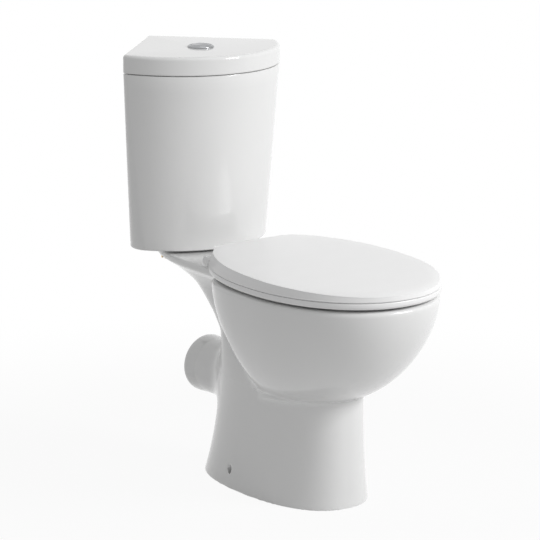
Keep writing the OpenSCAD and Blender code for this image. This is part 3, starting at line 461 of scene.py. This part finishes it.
def make_cistern(finish):
    """The open tank: up the outside, over the lip, and down the inside to the floor."""
    low = [body_ring(CISTERN_LOW + d, i) for d, i in arc_steps(3.5, 7)[::-1]]
    outer = [body_ring(z, 0) for z in np.linspace(CISTERN_LOW + 30, LID_LOW - 1.2, 12)]
    lip = [body_ring(LID_LOW - 0.3, 0.4), body_ring(LID_LOW, 1.3), body_ring(LID_LOW, 8.8),
           body_ring(LID_LOW - 0.6, CISTERN_WALL)]
    inner = [body_ring(z, CISTERN_WALL) for z in np.linspace(LID_LOW - 20, CISTERN_FLOOR + 24, 8)]
    floor = [body_ring(CISTERN_FLOOR + d, i + CISTERN_WALL) for d, i in arc_steps(14, 7)]
    body = loft("cistern", low + outer + lip + inner + floor)
    up = (0, 0, 1)
    start = CISTERN_LOW - 2
    cuts = [rod((0, FLUSH_Y, start), up, 30, FLUSH_WAY_R - 1),
            rod((INLET_X, INLET_Y, start), up, 30, INLET_R)]
    for side in (-1, 1):
        cuts.append(rod((side * COUPLING_X, FLUSH_Y, start), up, 30, BOLT_HOLE_R, count=32))
        out = Vector((side, 1, 0)).normalized()
        mid = Vector((0, CORNER_Y, LID_LOW - 55)) + Vector((side, -1, 0)).normalized() * 90
        cuts.append(rod(mid - out * 30, out, 60, 4, count=32))
    work(body, "DIFFERENCE", cuts)
    return dress(body, "cistern_glazed", finish, "cistern_ceramic", "toilet", "cistern_body")


def make_lid(finish):
    """The loose lid: hollow below, with a lip that finds the tank's mouth and a seam above the tank."""

    def ring(h, inset):
        return at_height(corner_plan(CORNER_Y, LID_FRONT_Y, BOW_R_TOP, SIDE_R_TOP, inset), LID_LOW + h)

    thick, drop, reach = LID_TOP - LID_LOW, 6.5, 7
    crown = [[thick - drop + drop * math.sin(a), reach * (1 - math.cos(a))]
             for a in np.linspace(0, math.pi / 2, 14)]
    seam = [ring(0, 8), ring(1.7, 7.4), ring(1.7, 1.5), ring(2.1, 0.6), ring(3, 0.05)]
    outside = [ring(h, 0) for h in np.linspace(5, thick - 7.5, 6)] + [ring(h, i) for h, i in crown]
    under = [ring(6, 19), ring(-7, 19), ring(-8, 18), ring(-8, 14.7), ring(-6.8, 13.5),
             ring(-1, 13.5), ring(0, 12.8)]
    ceiling = [ring(thick - 11, 40), ring(thick - 11, 16), ring(thick - 13, 14), ring(12, 12.5),
               ring(8, 15)]
    lid = loft("lid", ceiling + under + seam + outside)
    work(lid, "DIFFERENCE", [rod((0, FLUSH_Y, LID_LOW), (0, 0, 1), 60, LID_HOLE_R, count=96)])
    return dress(lid, "lid_glazed", finish, "cistern_ceramic", "cistern_lid", "cistern_lid")


# ---- Seat ----
def egg_plan(half, front, back, mid, e_front, e_back, count=200):
    """Points on an egg-shaped outline, widest at mid."""
    a = np.linspace(0, 2 * math.pi, count, endpoint=False)
    c, s = np.cos(a), np.sin(a)
    e = np.where(s < 0, e_front, e_back)
    reach = np.where(s < 0, mid - front, back - mid)
    return np.stack([half * np.sign(c) * np.abs(c) ** (2 / e),
                     mid + reach * np.sign(s) * np.abs(s) ** (2 / e)], 1)


def seat_plan(inset, back):
    """Outline of the seat, drawn in by inset and cut straight at the back with rounded corners."""
    plan = egg_plan(SEAT_W / 2 - inset, NOSE_Y + 1 + inset, SEAT_END_Y - inset, WIDEST_Y,
                    EGG_NOSE, 2.12)
    plan[:, 1] = melt(plan[:, 1], back, 9.0)
    return plan


def hole_plan(grow):
    """Outline of the hole in the seat ring, let out by grow."""
    return egg_plan(SEAT_W / 2 - RING_SIDE_W + grow, NOSE_Y + RING_NOSE_W - grow, HINGE_Y - 96 + grow,
                    WIDEST_Y + 8, EGG_NOSE, 2.2)


def hinge_bars(start, end, radius, edge=0.6):
    """A round bar on the hinge line at either side, from start to end off the middle."""
    return [rod((side * start, HINGE_Y, HINGE_Z), (side, 0, 0), end - start, radius, edge)
            for side in (-1, 1)]


def at_pads(angles):
    """Places in plan for rubber pads, along the middle of the seat ring."""
    plan = egg_plan((SEAT_W - RING_SIDE_W) / 2, NOSE_Y + RING_NOSE_W / 2, SEAT_END_Y, WIDEST_Y,
                    EGG_NOSE, 2.4, PAD_SPOTS)
    return [plan[round(a * PAD_SPOTS / 360)] for a in angles]


def make_ring(finish):
    """The seat ring: rounded outside and in, with two barrels on blocks at the back."""
    back = HINGE_Y - BARREL_R - 1.5
    top = RING_LOW + RING_T
    outside = [[0, 9], [0.5, 6.4], [1.3, 4.2], [2.4, 2.3], [3.8, 0.9], [5.4, 0.2], [7, 0],
               [RING_T - 2, 0.15], [RING_T - 0.8, 0.5], [RING_T - 0.2, 1.1], [RING_T, 2]]
    inside = [[RING_T, -9], [RING_T - 0.35, -6.4], [RING_T - 1.4, -4], [RING_T - 3, -2],
              [RING_T - 5.5, -0.6], [5, 0], [2.6, -0.25], [1, -1], [0.25, -2], [0, -3.4]]
    rings = [at_height(seat_plan(i, back), RING_LOW + h) for h, i in outside]
    across = [at_height(mix(seat_plan(2, back), hole_plan(9), u), top) for u in (0.25, 0.5, 0.75)]
    rings += across + [at_height(hole_plan(-i), RING_LOW + h) for h, i in inside]
    rings += [at_height(mix(hole_plan(3.4), seat_plan(9, back), u), RING_LOW) for u in (0.3, 0.6)]
    ring = loft("ring", rings, ends=False)
    start, end = RING_BARREL_X
    middle, half = (start + end) / 2, (end - start) / 2
    blocks = [block((side * middle - half, back - 6, RING_LOW + 3),
                    (side * middle + half, HINGE_Y, top - 0.5)) for side in (-1, 1)]
    work(ring, "UNION", hinge_bars(start, end, BARREL_R) + blocks)
    pads = [rod((x, y, RING_LOW - 1), (0, 0, 1), 6.5, PAD_STEM_R, count=32)
            for x, y in at_pads((18, 162, 234, 306))]
    work(ring, "DIFFERENCE", hinge_bars(start - 1.7, end + 1.3, PIN_BORE_R, 0) + pads)
    return dress(ring, "ring_moulded", finish, "seat_plastic", "seat_ring", "seat_ring")


def cover_thick(y):
    """Height of the cover's crown above its underside, which grows to the rear."""
    return mix(COVER_NOSE_T, COVER_REAR_T, (y - NOSE_Y) / SEAT_L)


def make_cover(finish):
    """Sides that lean in to a crisp crease, and a low crown inside it."""
    back = HINGE_Y + 7
    outline = seat_plan(0, back)
    lean = 1.5 + 7 * np.clip((outline[:, 1] - NOSE_Y) / SEAT_L / 0.5, 0, 1)

    def crease(y):
        """Height of the crease above the underside, lower towards the nose."""
        return cover_thick(y) - 0.8 - 3.4 * (1 - np.clip((y - NOSE_Y) / SEAT_L / 0.3, 0, 1))

    def wall(inset, lift, edge=back):
        """One ring of the sides, outside or inside."""
        return at_height(seat_plan(inset, edge), COVER_LOW + lift)

    def face(inset, rise, edge, shrink=1.0, under=0):
        """One ring of the top or the ceiling, a share `rise` of the way from crease to crown."""
        middle = np.array([0, WIDEST_Y + 30])
        plan = middle + (seat_plan(inset, edge) - middle) * shrink
        y = plan[:, 1]
        return at_height(plan, COVER_LOW + mix(crease(y), cover_thick(y), rise) - under)

    foot = [wall(1.6, 0, back - 1), wall(0.8, 0.25, back - 0.5), wall(0.3, 1, back - 0.2), wall(0.05, 2)]
    flank = [wall(lean * t ** 1.3, crease(outline[:, 1]) * t) for t in np.linspace(0.2, 0.93, 8)]
    edge = [face(lean + i, d, back - 0.6 - i)
            for i, d in ((-0.35, -0.02), (0.2, 0.04), (0.9, 0.12), (2.2, 0.24), (5, 0.44), (9, 0.66),
                         (14, 0.85), (20, 0.97), (26, 1))]
    top = [face(lean + 26, 1, back - 27, s) for s in (0.85, 0.7, 0.5, 0.3, 0.15, 0.04)]
    inner = [wall(i + lean * t, (crease(outline[:, 1]) - 4) * t, back - 4 - i * t / 2)
             for i, t in ((4, 0), (4, 0.3), (4.5, 0.6), (6, 0.8), (9, 0.92))]
    ceiling = [face(14 + lean, 0, back - 11, s, 4) for s in (1, 0.7, 0.35, 0.04)]
    cover = loft("cover", ceiling[::-1] + inner[::-1] + foot + flank + edge + top)
    spots = at_pads((27, 153, 243, 297))
    pad_top = RING_LOW + RING_T + 3.1
    bosses = [rod((x, y, pad_top), (0, 0, 1), COVER_LOW + cover_thick(y) - pad_top - 2, 7, 0.4)
              for x, y in spots]
    start, end = COVER_BARREL_X
    strap_x = start + 3
    straps = [block((side * strap_x - 3, HINGE_Y - BARREL_R, HINGE_Z),
                    (side * strap_x + 3, HINGE_Y + BARREL_R - 2, COVER_LOW + 13), 0.4)
              for side in (-1, 1)]
    work(cover, "UNION", hinge_bars(start, end, BARREL_R, 1.2) + bosses + straps)
    stems = [rod((x, y, pad_top - 3), (0, 0, 1), 8.4, PAD_STEM_R, count=32) for x, y in spots]
    notches = [block((side * STUD_X - 8, back - 5, COVER_LOW),
                     (side * STUD_X + 8, back + 9, COVER_LOW + 40), 0.5) for side in (-1, 1)]
    pin_bores = hinge_bars(start - 0.3, start + 18.5, PIN_BORE_R, 0)
    ring_room = hinge_bars(RING_BARREL_X[0] - 1, start, BARREL_R + 1, 0)
    post_room = hinge_bars(RING_BARREL_X[1], start, 16.5, 0)
    work(cover, "DIFFERENCE", pin_bores + ring_room + post_room + stems + notches)
    return dress(cover, "cover_moulded", finish, "seat_plastic", "seat_cover", "seat_cover", crease=28)


# ---- Push button ----
def button_plan(inset, half):
    """Outline of one of the two buttons: a disc parted by a curved cut, drawn in by inset."""
    count, cut_x = 72, BUTTON_R + 3.5
    r = BUTTON_R - inset
    cut = 16.7 - inset if half else 17.3 + inset
    x = (r * r - cut * cut + cut_x * cut_x) / (2 * cut_x)
    y = math.sqrt(r * r - x * x)
    rim, across = math.atan2(y, x), math.atan2(y, cut_x - x)
    a = np.linspace(-rim, rim, count) if half else np.linspace(rim, 2 * math.pi - rim, count)
    b = np.linspace(across, -across, count)[1:-1] * (1 if half else -1)
    return np.vstack([np.stack([r * np.cos(a), r * np.sin(a)], 1),
                      np.stack([cut_x - cut * np.cos(b), cut * np.sin(b)], 1)])


def make_button(name, finish, half, boss_x, node):
    """A plated button: domed, a shallow dish for the finger, rounded all round its edge."""
    low, high = LID_TOP - 12, LID_TOP + 4
    middle_x, dish_x, dish_r = (12.0, 12.5, 4.5) if half else (-6.0, -6.0, 8.0)
    middle = np.array([middle_x, 0.0])

    def crown(plan):
        far = np.hypot(*plan.T)
        dish = np.hypot(plan[:, 0] - dish_x, plan[:, 1] * 0.8)
        return high + 4 * (1 - (far / BUTTON_R) ** 2) - 1.6 * np.exp(-(dish / dish_r) ** 2)

    rings = []
    for share in (0.05, 0.35, 0.65, 1):
        rings.append(at_height(middle + (button_plan(0, half) - middle) * share, low))
    for inset, drop in ((0, 4), (0, 2.2), (0.15, 1.4), (0.5, 0.75), (1, 0.3), (1.7, 0.05)):
        plan = button_plan(inset, half)
        rings.append(at_height(plan, crown(plan) - drop))
    for share in (0.9, 0.78, 0.64, 0.5, 0.36, 0.22, 0.1, 0.03):
        plan = middle + (button_plan(1.7, half) - middle) * share
        rings.append(at_height(plan, crown(plan)))
    button = loft("button", rings)
    button.data.transform(Matrix.Translation((0, FLUSH_Y * MM, 0)))
    at = (boss_x, FLUSH_Y, low - 9)
    work(button, "UNION", [rod(at, (0, 0, 1), 10, 4.5, 0.4, 48)])
    work(button, "DIFFERENCE", [rod((at[0], at[1], at[2] - 1), (0, 0, 1), 10, 2.55, count=48)])
    return dress(button, name, finish, "button_chrome", node, node)


def make_bezel(finish):
    """The plated ring round the buttons, with its threaded sleeve below the lid."""
    inner, sleeve, low = BUTTON_R + 0.3, BUTTON_R + 2.3, LID_TOP - 31
    flange = [[BEZEL_R - 4.6 * (1 - math.cos(a)), LID_TOP + 0.7 + 3.3 * math.sin(a)]
              for a in np.linspace(0, math.pi / 2, 10)]
    thread = []
    for k in range(9):
        z = LID_TOP - 13 - 2 * k
        thread += [[sleeve, z], [sleeve - 0.7, z - 0.7], [sleeve - 0.7, z - 1.0], [sleeve, z - 1.7]]
    profile = [[inner, LID_TOP + 1.4], [inner, low + 0.4], [inner + 0.4, low], [sleeve - 0.4, low]]
    profile += thread[::-1]
    profile += [[sleeve, LID_TOP], [BEZEL_R - 0.3, LID_TOP], [BEZEL_R, LID_TOP + 0.3]] + flange[1:]
    profile += [[inner + 1.5, LID_TOP + 3.9], [inner + 0.9, LID_TOP + 3.5], [inner + 0.3, LID_TOP + 2.4]]
    turn = np.linspace(0, 2 * math.pi, 120, endpoint=False)
    ring = loft("bezel", [np.stack([r * np.cos(turn), FLUSH_Y + r * np.sin(turn), 0 * turn + z], 1)
                          for r, z in profile], ends=False)
    return dress(ring, "bezel_plated", finish, "button_chrome", "cistern_lid", "button_bezel", crease=50)


# ---- Finishes ----
class Wire:
    """A node's output. Arithmetic on it adds Math nodes."""

    def __init__(self, finish, socket):
        self.finish, self.socket = finish, socket

    def math(self, operation, a, b):
        """A Math node on two values or outputs."""
        return self.finish.node("ShaderNodeMath", {"operation": operation}, {0: a, 1: b})

    def __add__(self, other):
        return self.math("ADD", self, other)

    def __sub__(self, other):
        return self.math("SUBTRACT", self, other)

    def __mul__(self, other):
        return self.math("MULTIPLY", self, other)

    def __rsub__(self, other):
        return self.math("SUBTRACT", other, self)

    __radd__, __rmul__ = __add__, __mul__


class Finish:
    """A material whose nodes are added one by one."""

    def __init__(self, name, shelf=None):
        self.owner = (bpy.data.materials if shelf is None else shelf).new(name)
        self.owner.use_nodes = True
        self.nodes, self.links = self.owner.node_tree.nodes, self.owner.node_tree.links
        self.nodes.clear()

    def node(self, kind, settings=None, inputs=None, output=0):
        """Adds a node: its settings first, then the values or links of its sockets."""
        made = self.nodes.new(kind)
        for key, value in (settings or {}).items():
            if key == "stops":
                ramp = made.color_ramp.elements
                while len(ramp) < len(value):
                    ramp.new(0.5)
                for stop, (place, colour) in zip(ramp, value):
                    stop.position, stop.color = place, (*colour, 1)
            else:
                setattr(made, key, value)
        for key, value in (inputs or {}).items():
            if isinstance(value, Wire):
                self.links.new(value.socket, made.inputs[key])
            else:
                made.inputs[key].default_value = value
        return None if output is None else Wire(self, made.outputs[output])

    def place(self):
        """Each point's place on its own piece, in metres."""
        return self.node("ShaderNodeTexCoord", output="Object")

    def noise(self, scale, detail=3.0, rough=0.5, stretch=(1, 1, 1)):
        """Even noise from 0 to 1, with scale in cells per metre."""
        at = self.node("ShaderNodeMapping", {}, {"Vector": self.place(), "Scale": stretch})
        return self.node("ShaderNodeTexNoise", {},
                         {"Vector": at, "Scale": scale, "Detail": detail, "Roughness": rough})

    def ramp(self, wire, *stops):
        """A colour for each value of wire, from (value, colour) stops."""
        return self.node("ShaderNodeValToRGB", {"stops": stops}, {0: wire})

    def blend(self, factor, a, b):
        """A colour between a and b."""
        return self.node("ShaderNodeMix", {"data_type": "RGBA"}, {0: factor, 6: a, 7: b}, 2)

    def bumps(self, *layers):
        """Normal from [height, strength, depth in metres] layers, laid over each other."""
        normal = None
        for height, strength, depth in layers:
            inputs = {"Height": height, "Strength": strength, "Distance": depth}
            if normal:
                inputs["Normal"] = normal
            normal = self.node("ShaderNodeBump", {}, inputs)
        return normal

    def surface(self, sockets):
        """Ends the material in one shader with these sockets."""
        return self.end(self.node("ShaderNodeBsdfPrincipled", {}, sockets))

    def seen(self):
        """1 for the rays that look straight at a surface, off a shiny one or through a clear one."""
        rays = [self.node("ShaderNodeLightPath", output=kind)
                for kind in ("Is Camera Ray", "Is Glossy Ray", "Is Transmission Ray")]
        return rays[0].math("MAXIMUM", rays[0].math("MAXIMUM", rays[0], rays[1]), rays[2])

    def end(self, shader, kind="ShaderNodeOutputMaterial"):
        """Links the shader to the output and gives the finished material or world."""
        self.node(kind, {}, {"Surface": shader}, None)
        return self.owner


def grey(v, warm=0.0):
    """A grey of brightness v, a little warm or cold."""
    return (v * (1 + warm), v, v * (1 - warm), 1)


def glaze():
    """White sanitary glaze: deep gloss, faint waves, a slight unevenness in its white, and painted shade
    in its hollows and creases.
    """
    f = Finish("white_glaze")
    cloud, fine = f.noise(7, 2), f.noise(90, 4)
    # Painted shade: edge, and so white, is darker in hollows and creases and a little lighter over
    # rounded edges (a faint painted highlight), read from pointiness.
    edge = f.ramp(f.node("ShaderNodeNewGeometry", output="Pointiness"),
                  (0.44, (0.79, 0.795, 0.79)), (0.5, (0.85, 0.852, 0.848)), (0.56, (0.875, 0.877, 0.872)))
    white = f.blend(cloud * 0.5 + fine * 0.12, edge, grey(0.83, 0.002))
    wave = f.bumps((f.noise(26, 2), 0.10, 0.0006), (f.noise(420, 2), 0.05, 0.00012))
    return f.surface({"Base Color": white, "Roughness": 0.07 + f.noise(40, 3) * 0.07, "IOR": 1.5,
                      "Coat Weight": 0.3, "Coat Roughness": 0.03, "Normal": wave})


def moulding(name, colour, rough, gloss):
    """Moulded plastic with a fine skin and faint flow marks."""
    f = Finish(name)
    flow = f.noise(9, 3, 0.55, (1, 3, 1))
    tint = f.blend(flow * 0.7, colour, tuple(c * 0.965 for c in colour[:3]) + (1,))
    skin = f.bumps((f.noise(34, 2), 0.06, 0.0004), (f.noise(1300, 2), 0.2, 0.00003))
    return f.surface({"Base Color": tint, "Roughness": rough * 0.8 + f.noise(55, 4) * (rough * 0.45),
                      "IOR": 1.47, "Coat Weight": gloss, "Coat Roughness": 0.22, "Normal": skin})


def rubber(name, value, rough):
    """Rubber with a little dust in its grain."""
    f = Finish(name)
    dust = f.noise(160, 5, 0.65)
    tone = f.blend(dust, grey(value * 0.85), grey(value * 1.12))
    skin = f.bumps((f.noise(900, 3), 0.35, 0.00006))
    return f.surface({"Base Color": tone, "Roughness": rough * 0.85 + dust * 0.22, "IOR": 1.5,
                      "Normal": skin})


def metal(name, colour, rough, streak, depth=0.00002):
    """Bare or plated metal, with the fine marks of its making along one axis."""
    f = Finish(name)
    marks = f.noise(220, 5, 0.6, streak)
    tone = f.blend(f.noise(35, 3), colour, tuple(c * 0.9 for c in colour[:3]) + (1,))
    skin = f.bumps((marks, 0.25, depth))
    return f.surface({"Base Color": tone, "Roughness": rough * 0.7 + marks * (rough * 0.6),
                      "Metallic": 1.0, "Normal": skin})


white_glaze = glaze()
seat_white = moulding("seat_moulding", grey(0.93), 0.3, 0.2)
FINISHES = {
    "hinge_plastic": moulding("hinge_moulding", grey(0.84), 0.22, 0.3),
    "fixing_plastic": moulding("fixing_moulding", grey(0.80, 0.01), 0.42, 0.0),
    "valve_plastic": moulding("valve_moulding", (0.78, 0.755, 0.68, 1), 0.45, 0.0),
    "fill_head_plastic": moulding("fill_head_moulding", (0.045, 0.13, 0.42, 1), 0.4, 0.0),
    "buffer_rubber": rubber("pale_rubber", 0.62, 0.6),
    "seal_rubber": rubber("black_rubber", 0.03, 0.65),
    "pin_steel": metal("plain_steel", (0.60, 0.60, 0.61, 1), 0.3, (1, 6, 6)),
    "button_chrome": metal("bright_chrome", (0.37, 0.375, 0.385, 1), 0.2, (1, 1, 1), 0.000008),
    "coupling_brass": metal("plain_brass", (0.72, 0.50, 0.20, 1), 0.3, (5, 5, 1)),
}

make_pan(white_glaze)
make_cistern(white_glaze)
make_lid(white_glaze)
make_ring(seat_white)
make_cover(seat_white)
make_bezel(FINISHES["button_chrome"])
make_button("full_button_plated", FINISHES["button_chrome"], False, -7, "full_flush_button")
make_button("half_button_plated", FINISHES["button_chrome"], True, 11, "half_flush_button")

# The other pieces keep their CAD shapes.
for part in frame["record"]["subparts"]:
    kept = frame["nodes"][part["node"]]
    if not kept.hide_render:
        kept.data.materials.clear()
        kept.data.materials.append(FINISHES[part["material_slot"]])
        kept.data.shade_smooth()
        kept.data.set_sharp_from_angle(angle=math.radians(30))


# ---- Studio ----
FLOOR_GREY, ROOM_LIGHT, KEY_WATTS, TOP_WATTS = 0.68, 0.395, 71, 6


def studio():
    """A white room: the floor keeps the shadow near the object and fades to plain white round it."""
    f = Finish("studio_floor")
    away = f.node("ShaderNodeVectorMath", {"operation": "LENGTH"}, {0: f.place()}, "Value")
    fade = f.node("ShaderNodeMapRange", {"interpolation_type": "SMOOTHSTEP"},
                  {"Value": away, "From Min": 0.5, "From Max": 1.3, "To Min": 0.93, "To Max": 1.0})
    paint = f.node("ShaderNodeBsdfDiffuse", {}, {"Color": grey(FLOOR_GREY)})
    glow = f.node("ShaderNodeEmission", {}, {"Color": grey(1.0), "Strength": 1.0})
    f.end(f.node("ShaderNodeMixShader", {}, {0: f.seen() * fade, 1: paint, 2: glow}))
    far = 9000
    corners = [[-far, -far, 0], [far, -far, 0], [far, far, 0], [-far, far, 0]]
    floor = add_mesh("studio_floor", corners, [[0, 1, 2, 3]])
    floor.data.materials.append(f.owner)

    w = Finish("studio_room", bpy.data.worlds)
    room = w.node("ShaderNodeBackground", {}, {"Color": grey(1.0), "Strength": ROOM_LIGHT})
    white = w.node("ShaderNodeBackground", {}, {"Color": grey(1.0), "Strength": 1.0})
    bpy.context.scene.world = w.end(w.node("ShaderNodeMixShader", {}, {0: w.seen(), 1: room, 2: white}),
                                    "ShaderNodeOutputWorld")

    def softbox(name, at, size, watts):
        """A square lamp that looks at the middle of the object."""
        lamp = bpy.data.lights.new(name, "AREA")
        lamp.shape, lamp.size, lamp.energy = "SQUARE", size, watts
        obj = bpy.data.objects.new(name, lamp)
        obj.location = at
        obj.rotation_euler = (Vector((0, 0, 0.4)) - Vector(at)).to_track_quat("-Z", "Y").to_euler()
        bpy.context.scene.collection.objects.link(obj)

    softbox("key", (1.7, -2.65, 2.2), 1.2, KEY_WATTS)
    softbox("overhead", (0.3, -0.5, 2.9), 1.8, TOP_WATTS)


def camera():
    """The photograph's viewing angle."""
    aim = Vector((0.0134, 0.076, 0.3786))
    turn, rise, roll, away = math.radians(-36.3), math.radians(13.3), math.radians(0.4), 5.3797
    back = Vector((math.sin(turn) * math.cos(rise), -math.cos(turn) * math.cos(rise), math.sin(rise)))
    lens = bpy.data.cameras.new("camera")
    lens.sensor_width, lens.lens = 36, 191.3
    lens.shift_x, lens.shift_y = 0.0319, 0.0026
    lens.clip_start, lens.clip_end = 0.1, 60
    obj = bpy.data.objects.new("camera", lens)
    obj.matrix_world = (Matrix.Translation(aim + back * away)
                        @ (-back).to_track_quat("-Z", "Y").to_matrix().to_4x4()
                        @ Matrix.Rotation(roll, 4, "Z"))
    bpy.context.scene.collection.objects.link(obj)
    bpy.context.scene.camera = obj


studio()
camera()
bpy.context.scene.view_settings.view_transform = "Standard"
